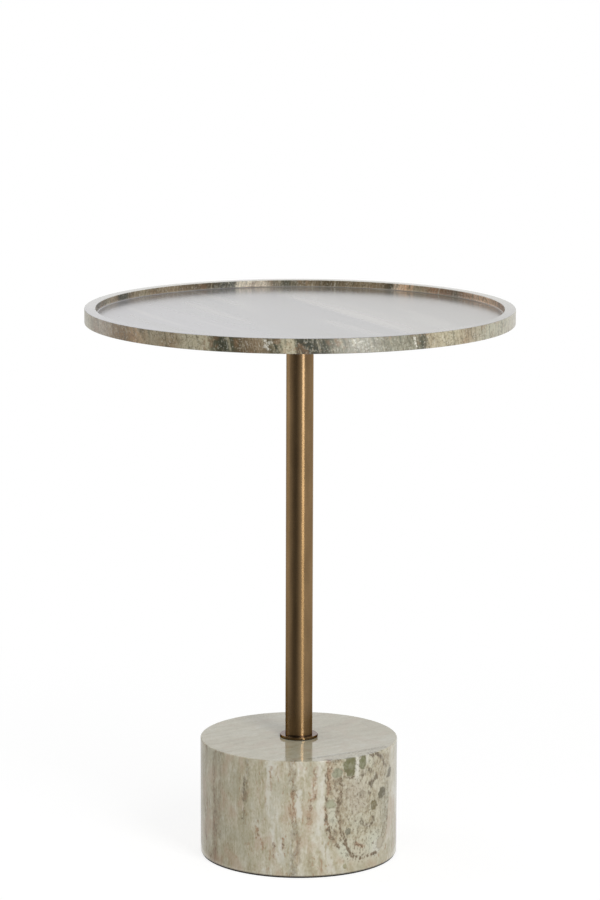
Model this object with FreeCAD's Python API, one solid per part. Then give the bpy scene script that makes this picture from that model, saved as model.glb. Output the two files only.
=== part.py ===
import FreeCAD
import Part
import math
import os

# Round pedestal side table. A turned marble tray is bonded to a steel plate, a brass-finished
# tube stands between that plate and a marble drum, and one threaded rod inside the tube pulls
# the whole stack together with a nut that is tightened from under the drum.
# Millimetres, +Z up. The origin is the centre of the pad's underside, on the floor.

# Whole table, from the floor to the top of the tray's lip
TABLE_HEIGHT = 530.0

# Marble tray
TRAY_DIAMETER = 406.0
TRAY_THICKNESS = 14.0
TRAY_LIP_WIDTH = 10.5
TRAY_RECESS_DEPTH = 6.5
TRAY_COVE_RADIUS = 2.2
TRAY_EDGE_ROUND = 0.7

# Steel plate bonded under the tray, and its bed of adhesive
PLATE_DIAMETER = 180.0
PLATE_THICKNESS = 3.0
PLATE_EDGE_ROUND = 0.9
ADHESIVE_THICKNESS = 0.6
ADHESIVE_MARGIN = 4.0

# Threaded boss fixed in the plate, which also centres the tube
BOSS_NECK_DIAMETER = 16.0
BOSS_LENGTH = 24.0
BOSS_TAPPED_DEPTH = 20.0
BOSS_LEAD_CHAMFER = 1.0

# Brass-finished column tube
TUBE_DIAMETER = 26.0
TUBE_WALL = 1.5
TUBE_DEBURR = 0.3

# Collar at the foot of the column, with a spigot up into the tube and one down into the drum
COLLAR_DIAMETER = 36.5
COLLAR_THICKNESS = 2.5
COLLAR_EDGE_ROUND = 0.4
COLLAR_UNDER_ROUND = 0.3
COLLAR_TUBE_SPIGOT = 12.0
COLLAR_STONE_SPIGOT = 10.0
COLLAR_LEAD_CHAMFER = 0.8
COLLAR_GASKET_THICKNESS = 0.4
COLLAR_GASKET_INSET = 1.2

# Marble drum
DRUM_DIAMETER = 189.0
DRUM_HEIGHT = 112.0
DRUM_EDGE_ROUND = 0.9
DRUM_BORE = 16.0
DRUM_POCKET_DIAMETER = 46.0
DRUM_POCKET_DEPTH = 27.0

# Threaded rod and the nuts on it
ROD_DIAMETER = 10.0
ROD_END_CHAMFER = 1.0
ROD_PAST_NUT = 5.0
ROD_END_GAP = 2.0
NUT_ACROSS_FLATS = 17.0
CLAMP_NUT_HEIGHT = 8.0
LOCK_NUT_HEIGHT = 5.0
NUT_CORNER_CHAMFER = 1.0

# Washers between the clamp nut and the drum
CLAMP_GASKET_DIAMETER = 40.0
CLAMP_GASKET_THICKNESS = 2.0
CLAMP_WASHER_DIAMETER = 38.0
CLAMP_WASHER_THICKNESS = 3.0
CLAMP_WASHER_EDGE_ROUND = 0.5
SPRING_WASHER_DIAMETER = 17.6
SPRING_WASHER_THICKNESS = 2.4
SPRING_WASHER_SLIT = 1.2
SPRING_WASHER_SLANT_DEGREES = 25.0

# Non-slip pad under the drum
PAD_THICKNESS = 1.5
PAD_INSET = 1.0
PAD_HOLE_MARGIN = 1.5

# Clearances, each on the radius
TUBE_FIT_CLEARANCE = 0.2
STONE_FIT_CLEARANCE = 0.5
ROD_HOLE_CLEARANCE = 0.5
THREAD_CLEARANCE = 0.05

# How far a cutting tool runs past the material
CUT_OVERRUN = 1.0

# Radii shared by pieces that fit each other
TUBE_RADIUS = TUBE_DIAMETER / 2
TUBE_BORE_RADIUS = TUBE_RADIUS - TUBE_WALL
SPIGOT_RADIUS = TUBE_BORE_RADIUS - TUBE_FIT_CLEARANCE
ROD_RADIUS = ROD_DIAMETER / 2
ROD_HOLE_RADIUS = ROD_RADIUS + ROD_HOLE_CLEARANCE
THREAD_RADIUS = ROD_RADIUS + THREAD_CLEARANCE
DRUM_BORE_RADIUS = DRUM_BORE / 2
STONE_SPIGOT_RADIUS = DRUM_BORE_RADIUS - STONE_FIT_CLEARANCE
POCKET_RADIUS = DRUM_POCKET_DIAMETER / 2

# Heights of the stack, from the floor up
DRUM_BOTTOM = PAD_THICKNESS
DRUM_TOP = DRUM_BOTTOM + DRUM_HEIGHT
COLLAR_BOTTOM = DRUM_TOP + COLLAR_GASKET_THICKNESS
TUBE_BOTTOM = COLLAR_BOTTOM + COLLAR_THICKNESS
TRAY_BOTTOM = TABLE_HEIGHT - TRAY_THICKNESS
PLATE_TOP = TRAY_BOTTOM - ADHESIVE_THICKNESS
TUBE_TOP = PLATE_TOP - PLATE_THICKNESS
BOSS_BOTTOM = TUBE_TOP - BOSS_LENGTH

# Heights of the clamp, from the roof of the drum's pocket down
POCKET_ROOF = DRUM_BOTTOM + DRUM_POCKET_DEPTH
CLAMP_WASHER_TOP = POCKET_ROOF - CLAMP_GASKET_THICKNESS
SPRING_WASHER_TOP = CLAMP_WASHER_TOP - CLAMP_WASHER_THICKNESS
CLAMP_NUT_TOP = SPRING_WASHER_TOP - SPRING_WASHER_THICKNESS
CLAMP_NUT_BOTTOM = CLAMP_NUT_TOP - CLAMP_NUT_HEIGHT
ROD_BOTTOM = CLAMP_NUT_BOTTOM - ROD_PAST_NUT
ROD_TOP = BOSS_BOTTOM + BOSS_TAPPED_DEPTH - ROD_END_GAP

ORIGIN = FreeCAD.Vector(0, 0, 0)
Z_AXIS = FreeCAD.Vector(0, 0, 1)
X_AXIS = FreeCAD.Vector(1, 0, 0)
FULL_TURN = 360.0
HEX_SIDES = 6


def rounded_corner(before, corner, after, radius):
    """Start, middle and end of the arc that rounds a corner with the given radius."""
    to_before = (before - corner).normalize()
    to_after = (after - corner).normalize()
    half_angle = to_before.getAngle(to_after) / 2
    reach = radius / math.tan(half_angle)
    inward = (to_before + to_after).normalize()
    middle = corner + inward * (radius / math.sin(half_angle) - radius)
    return corner + to_before * reach, middle, corner + to_after * reach


def turned(corners):
    """Solid turned about Z. Each corner is (radius, height), or (radius, height, rounding)."""
    points = [FreeCAD.Vector(corner[0], 0, corner[1]) for corner in corners]
    spans = []
    arcs = []
    for index, corner in enumerate(corners):
        point = points[index]
        if len(corner) == 2:
            spans.append((point, point))
            continue
        following = points[(index + 1) % len(points)]
        start, middle, end = rounded_corner(points[index - 1], point, following, corner[2])
        spans.append((start, end))
        arcs.append(Part.Arc(start, middle, end).toShape())
    lines = []
    for index, span in enumerate(spans):
        next_start = spans[(index + 1) % len(spans)][0]
        lines.append(Part.makeLine(span[1], next_start))
    wire = Part.Wire(Part.__sortEdges__(lines + arcs))
    return Part.Face(wire).revolve(ORIGIN, Z_AXIS, FULL_TURN)


def washer(outer_radius, hole_radius, bottom, top):
    """Plain flat ring."""
    return turned([(hole_radius, bottom), (outer_radius, bottom), (outer_radius, top), (hole_radius, top)])


def hex_nut(bottom, height):
    """Hexagon nut with chamfered corners and a bore at the thread's major size."""
    flat_radius = NUT_ACROSS_FLATS / 2
    corner_radius = flat_radius / math.cos(math.pi / HEX_SIDES)
    top = bottom + height
    turn = 2 * math.pi / HEX_SIDES
    outline = []
    for side in range(HEX_SIDES + 1):
        outline.append(
            FreeCAD.Vector(corner_radius * math.cos(side * turn), corner_radius * math.sin(side * turn), bottom)
        )
    prism = Part.Face(Part.makePolygon(outline)).extrude(Z_AXIS * height)
    chamfered = turned(
        [
            (THREAD_RADIUS, bottom),
            (flat_radius, bottom),
            (corner_radius, bottom + NUT_CORNER_CHAMFER),
            (corner_radius, top - NUT_CORNER_CHAMFER),
            (flat_radius, top),
            (THREAD_RADIUS, top),
        ]
    )
    return prism.common(chamfered)


def tray_top():
    """Marble disc turned on one side, which leaves a raised lip with a cove at its foot."""
    outer = TRAY_DIAMETER / 2
    inner = outer - TRAY_LIP_WIDTH
    floor = TABLE_HEIGHT - TRAY_RECESS_DEPTH
    return turned(
        [
            (0, TRAY_BOTTOM),
            (outer, TRAY_BOTTOM, TRAY_EDGE_ROUND),
            (outer, TABLE_HEIGHT, TRAY_EDGE_ROUND),
            (inner, TABLE_HEIGHT, TRAY_EDGE_ROUND),
            (inner, floor, TRAY_COVE_RADIUS),
            (0, floor),
        ]
    )


def plate_adhesive():
    """Thin bed of adhesive between the plate and the tray, a little short of the plate's edge."""
    radius = PLATE_DIAMETER / 2 - ADHESIVE_MARGIN
    return turned([(0, PLATE_TOP), (radius, PLATE_TOP), (radius, TRAY_BOTTOM), (0, TRAY_BOTTOM)])


def support_plate():
    """Round steel plate that carries the tray, with a hole for the boss's neck."""
    radius = PLATE_DIAMETER / 2
    neck = BOSS_NECK_DIAMETER / 2
    return turned(
        [
            (neck, TUBE_TOP),
            (radius, TUBE_TOP, PLATE_EDGE_ROUND),
            (radius, PLATE_TOP, PLATE_EDGE_ROUND),
            (neck, PLATE_TOP),
        ]
    )


def plate_boss():
    """Turned boss: its neck is fixed in the plate, its body fits in the tube, its hole takes the rod."""
    neck = BOSS_NECK_DIAMETER / 2
    tapped_end = BOSS_BOTTOM + BOSS_TAPPED_DEPTH
    return turned(
        [
            (THREAD_RADIUS, BOSS_BOTTOM),
            (SPIGOT_RADIUS - BOSS_LEAD_CHAMFER, BOSS_BOTTOM),
            (SPIGOT_RADIUS, BOSS_BOTTOM + BOSS_LEAD_CHAMFER),
            (SPIGOT_RADIUS, TUBE_TOP),
            (neck, TUBE_TOP),
            (neck, PLATE_TOP),
            (0, PLATE_TOP),
            (0, tapped_end),
            (THREAD_RADIUS, tapped_end),
        ]
    )


def column_tube():
    """Tube between the collar and the plate, with its inner edges deburred."""
    return turned(
        [
            (TUBE_BORE_RADIUS + TUBE_DEBURR, TUBE_BOTTOM),
            (TUBE_RADIUS, TUBE_BOTTOM),
            (TUBE_RADIUS, TUBE_TOP),
            (TUBE_BORE_RADIUS + TUBE_DEBURR, TUBE_TOP),
            (TUBE_BORE_RADIUS, TUBE_TOP - TUBE_DEBURR),
            (TUBE_BORE_RADIUS, TUBE_BOTTOM + TUBE_DEBURR),
        ]
    )


def column_collar():
    """Flange that shows at the column's foot, with a spigot for the tube and one for the drum."""
    flange = COLLAR_DIAMETER / 2
    stone_end = COLLAR_BOTTOM - COLLAR_STONE_SPIGOT
    tube_end = TUBE_BOTTOM + COLLAR_TUBE_SPIGOT
    return turned(
        [
            (ROD_HOLE_RADIUS, stone_end),
            (STONE_SPIGOT_RADIUS - COLLAR_LEAD_CHAMFER, stone_end),
            (STONE_SPIGOT_RADIUS, stone_end + COLLAR_LEAD_CHAMFER),
            (STONE_SPIGOT_RADIUS, COLLAR_BOTTOM),
            (flange, COLLAR_BOTTOM, COLLAR_UNDER_ROUND),
            (flange, TUBE_BOTTOM, COLLAR_EDGE_ROUND),
            (SPIGOT_RADIUS, TUBE_BOTTOM),
            (SPIGOT_RADIUS, tube_end - COLLAR_LEAD_CHAMFER),
            (SPIGOT_RADIUS - COLLAR_LEAD_CHAMFER, tube_end),
            (ROD_HOLE_RADIUS, tube_end),
        ]
    )


def collar_gasket():
    """Thin ring that keeps the collar's metal off the polished stone."""
    return washer(COLLAR_DIAMETER / 2 - COLLAR_GASKET_INSET, DRUM_BORE_RADIUS, DRUM_TOP, COLLAR_BOTTOM)


def base_drum():
    """Marble drum with a bore for the rod and a pocket underneath for the nut."""
    radius = DRUM_DIAMETER / 2
    return turned(
        [
            (DRUM_BORE_RADIUS, POCKET_ROOF),
            (POCKET_RADIUS, POCKET_ROOF),
            (POCKET_RADIUS, DRUM_BOTTOM),
            (radius, DRUM_BOTTOM, DRUM_EDGE_ROUND),
            (radius, DRUM_TOP, DRUM_EDGE_ROUND),
            (DRUM_BORE_RADIUS, DRUM_TOP),
        ]
    )


def tie_rod():
    """Threaded rod at its major size, chamfered at both ends."""
    tip = ROD_RADIUS - ROD_END_CHAMFER
    return turned(
        [
            (0, ROD_BOTTOM),
            (tip, ROD_BOTTOM),
            (ROD_RADIUS, ROD_BOTTOM + ROD_END_CHAMFER),
            (ROD_RADIUS, ROD_TOP - ROD_END_CHAMFER),
            (tip, ROD_TOP),
            (0, ROD_TOP),
        ]
    )


def rod_lock_nut():
    """Thin nut that locks the rod in the boss, inside the tube."""
    return hex_nut(BOSS_BOTTOM - LOCK_NUT_HEIGHT, LOCK_NUT_HEIGHT)


def clamp_gasket():
    """Rubber ring between the steel washer and the roof of the drum's pocket."""
    return washer(CLAMP_GASKET_DIAMETER / 2, ROD_HOLE_RADIUS, CLAMP_WASHER_TOP, POCKET_ROOF)


def clamp_washer():
    """Thick steel washer that spreads the nut's load."""
    radius = CLAMP_WASHER_DIAMETER / 2
    return turned(
        [
            (ROD_HOLE_RADIUS, SPRING_WASHER_TOP),
            (radius, SPRING_WASHER_TOP, CLAMP_WASHER_EDGE_ROUND),
            (radius, CLAMP_WASHER_TOP),
            (ROD_HOLE_RADIUS, CLAMP_WASHER_TOP),
        ]
    )


def spring_washer():
    """Split washer, pressed flat, with its slanted slit."""
    ring = washer(SPRING_WASHER_DIAMETER / 2, ROD_HOLE_RADIUS, CLAMP_NUT_TOP, SPRING_WASHER_TOP)
    middle = (CLAMP_NUT_TOP + SPRING_WASHER_TOP) / 2
    length = SPRING_WASHER_DIAMETER / 2 + CUT_OVERRUN
    height = 2 * (SPRING_WASHER_THICKNESS + CUT_OVERRUN)
    corner = FreeCAD.Vector(0, -SPRING_WASHER_SLIT / 2, middle - height / 2)
    slit = Part.makeBox(length, SPRING_WASHER_SLIT, height, corner)
    slit.rotate(FreeCAD.Vector(0, 0, middle), X_AXIS, SPRING_WASHER_SLANT_DEGREES)
    return ring.cut(slit)


def clamp_nut():
    """Nut in the drum's pocket that tightens the whole stack."""
    return hex_nut(CLAMP_NUT_BOTTOM, CLAMP_NUT_HEIGHT)


def base_pad():
    """Non-slip pad under the drum, open in the middle so that a socket reaches the nut."""
    return washer(DRUM_DIAMETER / 2 - PAD_INSET, POCKET_RADIUS + PAD_HOLE_MARGIN, 0, DRUM_BOTTOM)


PIECES = (
    tray_top,
    plate_adhesive,
    support_plate,
    plate_boss,
    rod_lock_nut,
    tie_rod,
    column_tube,
    column_collar,
    collar_gasket,
    base_drum,
    clamp_gasket,
    clamp_washer,
    spring_washer,
    clamp_nut,
    base_pad,
)


def main():
    os.makedirs("parts", exist_ok=True)
    for piece in PIECES:
        piece().exportStep(os.path.join("parts", piece.__name__ + ".step"))


main()
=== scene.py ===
import math

import bmesh
import bpy
from mathutils import Color, Matrix, Vector


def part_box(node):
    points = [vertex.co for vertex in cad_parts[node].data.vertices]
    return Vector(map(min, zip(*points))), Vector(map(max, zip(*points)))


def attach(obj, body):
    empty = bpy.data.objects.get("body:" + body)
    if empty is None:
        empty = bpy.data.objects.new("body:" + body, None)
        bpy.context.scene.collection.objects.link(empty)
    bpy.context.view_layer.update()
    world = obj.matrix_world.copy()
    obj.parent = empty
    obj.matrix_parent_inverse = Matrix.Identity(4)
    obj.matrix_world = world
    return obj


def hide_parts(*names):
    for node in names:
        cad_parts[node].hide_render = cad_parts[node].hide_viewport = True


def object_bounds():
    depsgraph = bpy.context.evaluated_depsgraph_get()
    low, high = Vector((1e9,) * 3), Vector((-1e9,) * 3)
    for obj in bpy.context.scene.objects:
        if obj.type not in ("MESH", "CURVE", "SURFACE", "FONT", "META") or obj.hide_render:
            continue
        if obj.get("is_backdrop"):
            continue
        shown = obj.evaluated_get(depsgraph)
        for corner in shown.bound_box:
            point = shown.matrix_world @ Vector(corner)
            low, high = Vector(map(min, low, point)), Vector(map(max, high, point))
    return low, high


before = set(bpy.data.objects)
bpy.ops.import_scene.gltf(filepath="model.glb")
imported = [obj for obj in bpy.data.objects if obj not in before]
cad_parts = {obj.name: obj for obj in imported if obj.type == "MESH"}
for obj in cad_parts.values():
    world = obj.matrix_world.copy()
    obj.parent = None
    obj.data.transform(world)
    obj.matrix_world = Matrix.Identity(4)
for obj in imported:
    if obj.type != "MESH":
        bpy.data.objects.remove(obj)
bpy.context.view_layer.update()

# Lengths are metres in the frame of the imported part: +Z up, -Y towards the camera. Patterns in
# stone and metal are laid out in millimetres, and in degrees from the front, positive to the right.
MM = 0.001
PER_METRE = 1000.0
BODY = "root"

# Camera of the photograph, fitted to the outlines of tray, column and drum
CAMERA_PLACE = Vector((0.0003, -3.3916, 1.0036))
CAMERA_LEVEL_DEGREES = 90.0
CAMERA_PITCH_DEGREES = 10.204
CAMERA_ROLL_DEGREES = 0.177
CAMERA_FOCAL_PIXELS = 3633.5
PHOTO_HEIGHT_PIXELS = 900
SENSOR_HEIGHT_MM = 36.0

# Light: 1 is the brightness of white paper. The strip stands behind the key and shows only in what
# mirrors it.
WHITE_LEVEL = 1.0
AMBIENT_LEVEL = 0.42
KEY_LEVEL = 5.5
KEY_BEARING_DEGREES = 30.0
KEY_DISTANCE = 1.7
KEY_MIDDLE_HEIGHT = 0.92
KEY_SIZE = (0.6, 1.8)
STRIP_LEVEL = 1.9
STRIP_DISTANCE = 1.8
FILL_LEVEL = 1.1
FILL_BEARING_DEGREES = -112.0
FILL_DISTANCE = 2.0
FILL_MIDDLE_HEIGHT = 0.9
FILL_SIZE = (1.6, 1.6)

# Floor: white to the eye far off, and taking the table's shadow near it
FLOOR_SIZE = 24.0
FLOOR_ALBEDO = 0.8
FLOOR_NEAR = 0.15
FLOOR_FAR = 0.90
FLOOR_SHADED_SHARE = 0.34
FLOOR_NEAR_LIGHT = 0.62

# Dark card: flat on the floor and standing round the table's front and left, seen only in polished
# surfaces. How dense it is goes by degrees from the front.
CARD_RADIUS = 0.75
CARD_INNER_RADIUS = 0.10
CARD_HEIGHT = 1.6
CARD_WALL_FROM_DEGREES = -168.0
CARD_WALL_TO_DEGREES = 60.0
CARD_WALL_RISE_DEGREES = 35.0
CARD_STEPS = 96
CARD_LIFT = 0.002
CARD_SHADE_SHARES = (
    (-178, 0.40), (-150, 0.30), (-122, 0.10), (-92, 0.26), (-70, 0.50), (-50, 0.74),
    (-30, 0.80), (-14, 0.66), (3, 0.30), (14, 0), (120, 0), (150, 0.24), (178, 0.40),
)
CARD_LOW_SHARES = ((-178, 0.50), (-150, 0.42), (-122, 0.34), (-92, 0.26), (0, 0), (178, 0))
CARD_LOW_HEIGHT_MM = 150.0
CARD_NEAR_SHARE = 0.22
CARD_NEAR_FROM_MM = 380.0
CARD_NEAR_FULL_MM = 140.0

# Stone pieces, where the frame's box doesn't give the size
TRAY_LIP_WIDTH = 10.5 * MM
TRAY_RECESS_DEPTH = 6.5 * MM
TRAY_COVE_RADIUS = 2.2 * MM
TRAY_EDGE_ROUND = 0.7 * MM
DRUM_EDGE_ROUND = 0.9 * MM
DRUM_BORE_RADIUS = 8.0 * MM
DRUM_POCKET_RADIUS = 23.0 * MM
DRUM_POCKET_DEPTH = 27.0 * MM

# Foam pad and threaded rod
PAD_HOLE_RADIUS = 24.5 * MM
PAD_EDGE_ROUND = 0.5 * MM
THREAD_PITCH = 1.5 * MM
THREAD_DEPTH = 0.92 * MM
THREAD_LENGTH = 30.0 * MM
THREAD_FLAT_SHARE = 0.15
RINGS_PER_PITCH = 8
ROD_SEGMENTS = 32

# Fineness of the turned meshes
STONE_SEGMENTS = 256
ARC_STEPS = 5
AXIS_LIMIT = 1e-6
SHARP_DEGREES = 40.0


def tone(red, green, blue):
    """Display colour, 0 to 255, as a shader colour."""
    display = Color((red / 255, green / 255, blue / 255))
    return (*display.from_srgb_to_scene_linear(), 1.0)


STONE_IOR = 1.52
NOISE_MIDDLE = 0.5

# Where a drawn line, and a round grain, starts to show and is full: shares of its half width and size
LINE_FADE_SHARES = (1.2, 0.4)
GRAIN_FADE_SHARES = (0.80, 0.45)

# Tones of the stone
CHALK = tone(219, 216, 203)
CREAM = tone(203, 196, 174)
SAND = tone(187, 179, 152)
BEIGE = tone(172, 160, 133)
TAN = tone(160, 142, 114)
BLUSH = tone(190, 164, 140)
RUST = tone(160, 119, 86)
CLAY = tone(242, 198, 158)
BROWN = tone(136, 117, 91)
COCOA = tone(131, 100, 50)
GRIT = tone(121, 114, 93)
UMBER = tone(94, 80, 57)
MOSS = tone(78, 79, 60)
PINE = tone(52, 54, 40)
SAGE = tone(141, 139, 121)
LICHEN = tone(177, 175, 154)
MINT = tone(204, 203, 183)
IVORY = tone(229, 217, 192)


class Shading:
    """Node tree of one material. Most methods add nodes and return the output socket."""

    def __init__(self, name):
        self.material = bpy.data.materials.new(name)
        self.material.use_nodes = True
        self.tree = self.material.node_tree
        self.surface = self.tree.nodes["Principled BSDF"]

    def feed(self, socket, value):
        """Links an output socket to an input, or sets the input to a plain value."""
        if isinstance(value, bpy.types.NodeSocket):
            self.tree.links.new(value, socket)
        else:
            socket.default_value = value

    def set(self, **values):
        """Sets inputs of the surface shader; a name's underscores stand for spaces."""
        for name, value in values.items():
            self.feed(self.surface.inputs[name.replace("_", " ")], value)

    def add(self, kind, **settings):
        node = self.tree.nodes.new("ShaderNode" + kind)
        for name, value in settings.items():
            setattr(node, name, value)
        return node

    def fed(self, kind, values, **settings):
        """New node whose first inputs take the values."""
        node = self.add(kind, **settings)
        for socket, value in zip(node.inputs, values):
            self.feed(socket, value)
        return node

    def math(self, operation, *values):
        return self.fed("Math", values, operation=operation).outputs[0]

    def times(self, value, *factors):
        for factor in factors:
            value = self.math("MULTIPLY", value, factor)
        return value

    def vector(self, operation, *values):
        node = self.fed("VectorMath", values, operation=operation)
        scalar = operation in ("LENGTH", "DOT_PRODUCT", "DISTANCE")
        return node.outputs["Value" if scalar else "Vector"]

    def scaled(self, vector, factor):
        node = self.add("VectorMath", operation="SCALE")
        self.feed(node.inputs[0], vector)
        self.feed(node.inputs["Scale"], factor)
        return node.outputs["Vector"]

    def split(self, vector):
        return tuple(self.fed("SeparateXYZ", [vector]).outputs)

    def join(self, x, y, z):
        return self.fed("CombineXYZ", (x, y, z)).outputs[0]

    def millimetres(self):
        """Place on the piece in millimetres, in the part's frame."""
        place = self.add("TexCoord").outputs["Object"]
        return self.scaled(place, PER_METRE)

    def bearing(self, place):
        """Radians from the front round the Z axis, positive to the right."""
        x, y = self.split(place)[:2]
        return self.math("ARCTAN2", x, self.math("MULTIPLY", y, -1.0))

    def upward(self):
        """How far the surface faces straight up or down, 0 to 1."""
        normal = self.add("NewGeometry").outputs["Normal"]
        return self.math("ABSOLUTE", self.split(normal)[2])

    def texture(self, kind, place, size, **inputs):
        """Texture node whose features have the given size along each axis."""
        node = self.add(kind)
        self.feed(node.inputs["Vector"], self.vector("DIVIDE", place, size))
        for name, value in {"Scale": 1.0, **inputs}.items():
            node.inputs[name].default_value = value
        return node

    def noise_node(self, place, size, detail=2.0, roughness=0.5):
        return self.texture("TexNoise", place, size, Detail=detail, Roughness=roughness)

    def noise(self, place, size, **settings):
        """Noise from 0 to 1."""
        return self.noise_node(place, size, **settings).outputs["Fac"]

    def shaken(self, vector, place, size, reach):
        """Vector moved about by noise, at most half the reach along each axis."""
        node = self.noise_node(place, size)
        shift = self.vector("SUBTRACT", node.outputs["Color"], (NOISE_MIDDLE, NOISE_MIDDLE, NOISE_MIDDLE))
        return self.vector("ADD", vector, self.scaled(shift, reach))

    def sway(self, value, noise, reach):
        """Value moved by noise, at most half the reach to either side."""
        centred = self.math("SUBTRACT", noise, NOISE_MIDDLE)
        return self.math("MULTIPLY_ADD", centred, reach, value)

    def grains(self, place, size):
        """A random number for the grain at a place, and 1 in its middle falling to 0 outside."""
        node = self.texture("TexVoronoi", place, size)
        chance = self.split(node.outputs["Color"])[0]
        return chance, self.fade(node.outputs["Distance"], *GRAIN_FADE_SHARES)

    def fade(self, value, start, end):
        """Smooth step from 0 at start to 1 at end."""
        settings = {"interpolation_type": "SMOOTHSTEP", "clamp": False}
        return self.fed("MapRange", (value, start, end), **settings).outputs["Result"]

    def near(self, value, middle, reach):
        """1 where a value is at the middle, falling to 0 at the reach to either side."""
        gap = self.math("ABSOLUTE", self.math("SUBTRACT", value, middle))
        return self.fade(gap, reach, 0.0)

    def mix(self, share, first, second):
        node = self.add("Mix", data_type="RGBA")
        self.feed(node.inputs[0], share)
        self.feed(node.inputs[6], first)
        self.feed(node.inputs[7], second)
        return node.outputs[2]

    def tint(self, colour, shade, strength, *masks):
        """Colour turned towards a shade, by a strength where all the masks are 1."""
        return self.mix(self.times(*masks, strength), colour, shade)

    def tints(self, colour, rows, *noises):
        """Colour tinted by rows of tone, strength and each noise's levels where it starts and is full."""
        for shade, strength, *spans in rows:
            masks = [self.fade(noise, *span) for noise, span in zip(noises, spans)]
            colour = self.tint(colour, shade, strength, *masks)
        return colour

    def rough(self, value, start, end):
        """Sets a roughness that goes from start to end as a value goes from 0 to 1."""
        self.set(Roughness=self.math("MULTIPLY_ADD", value, end - start, start))

    def ramp_node(self, value, stops):
        low = stops[0][0]
        high = stops[-1][0]
        span = self.fed("MapRange", (value, low, high), clamp=False)
        node = self.add("ValToRGB")
        elements = node.color_ramp.elements
        for index, (position, colour) in enumerate(stops):
            share = (position - low) / (high - low)
            element = elements[index] if index < len(elements) else elements.new(share)
            element.position = share
            element.color = colour
        self.feed(node.inputs[0], span.outputs["Result"])
        return node

    def ramp(self, value, stops):
        """Colour along a list of (position, colour) stops; positions in any unit, rising."""
        return self.ramp_node(value, stops).outputs["Color"]

    def levels(self, value, stops):
        """Number along a list of (position, number) stops, which the ramp carries as its alpha."""
        shades = [(position, (1.0, 1.0, 1.0, level)) for position, level in stops]
        return self.ramp_node(value, shades).outputs["Alpha"]

    def line_distance(self, face, points):
        """Distance from a place on a face to a line through points (x, z), all in millimetres."""
        nearest = None
        for start, end in zip(points, points[1:]):
            first = Vector((start[0], 0, start[1]))
            run = Vector((end[0], 0, end[1])) - first
            offset = self.vector("SUBTRACT", face, first)
            along = self.vector("DOT_PRODUCT", offset, run)
            share = self.math("MAXIMUM", self.math("DIVIDE", along, run.length_squared), 0.0)
            share = self.math("MINIMUM", share, 1.0)
            distance = self.vector("DISTANCE", offset, self.scaled(tuple(run), share))
            nearest = distance if nearest is None else self.math("MINIMUM", nearest, distance)
        return nearest


# Drum stone: the beds stand upright and face this bearing. Sizes of the pattern are in millimetres.
DRUM_BED_BEARING = math.radians(36.0)
DRUM_RADIUS_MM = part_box("base_drum")[1].x * PER_METRE
WAVE_SIZE = (60, 60, 90)
WAVE_REACH = 9.0
RIPPLE_SIZE = (8, 12, 15)
RIPPLE_REACH = 3.5
BROAD_BED_SIZE = (9, 50, 60)
FIBRE_SIZE = (1.3, 12, 17)
CLOUD_SIZE = (9, 11, 15)
MOTTLE_SIZE = (1.6, 2.2, 3)
TINT_SIZE = (16, 22, 24)
DASH_SIZE = (1.2, 8, 6.5)
GRAIN_SIZE = (2.2, 2.2, 3)
CRUMB_SIZE = (2.4, 2.4, 2.4)
CRUMB_REACH = 3.6
BEND_SIZE = (9, 9, 9)
BEND_REACH = 7.0
BREAK_SIZE = (3, 3, 7)
CLOT_SIZE = (5, 5, 6)
SKIN_DEPTH = 7.0
SKIN_FULL_DEPTH = SKIN_DEPTH / 3
DRUM_ROUGHNESS = (0.06, 0.14)

# Top of the drum: a lighter tone painted on its upward faces as painted light, and how far up a face looks
# where that starts and is full
DRUM_TOP_PAINTED_LIGHT_TONE = tone(203, 200, 176)
TOP_PAINTED_LIGHT_SHARE = 0.40
DRUM_TOP_LEVELS = (0.6, 0.9)

# How light the drum's ground is across its beds: millimetres from the middle, level from dark to light
DRUM_BED_LEVELS = (
    (-95, 0.54), (-36, 0.525), (-27, 0.50), (-18, 0.48), (-9, 0.45), (0, 0.46), (8, 0.495), (24, 0.505),
    (38, 0.515), (48, 0.55), (62, 0.58), (72, 0.565), (80, 0.545), (95, 0.55),
)
# How far noise moves that level: broad beds, fibres, clouds, mottles
BED_NOISE_REACHES = (0.34, 0.21, 0.34, 0.26)

# Ground of the drum and of its lens: (level, tone)
GROUND_STOPS = ((0.34, BROWN), (0.41, BEIGE), (0.49, SAND), (0.57, CREAM), (0.68, CHALK))
LENS_STOPS = ((0.32, TAN), (0.42, BEIGE), (0.52, SAND), (0.62, CREAM))

# Tints by noise: tone, strength, and each noise's levels where the tint starts to show and is full
GROUND_TINTS = ((LICHEN, 0.28, (0.48, 0.66)), (BLUSH, 0.40, (0.48, 0.34)))
DASH_TINTS = ((RUST, 0.50, (0.60, 0.72), (0.58, 0.42)),)
LENS_TINTS = ((GRIT, 0.45, (0.50, 0.64)), (MINT, 0.50, (0.48, 0.36)))
PEBBLE_CLOUD_TINTS = ((LICHEN, 0.35, (0.44, 0.66)),)
PEBBLE_GRAIN_TINTS = ((UMBER, 0.35, (0.50, 0.68)),)

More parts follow.
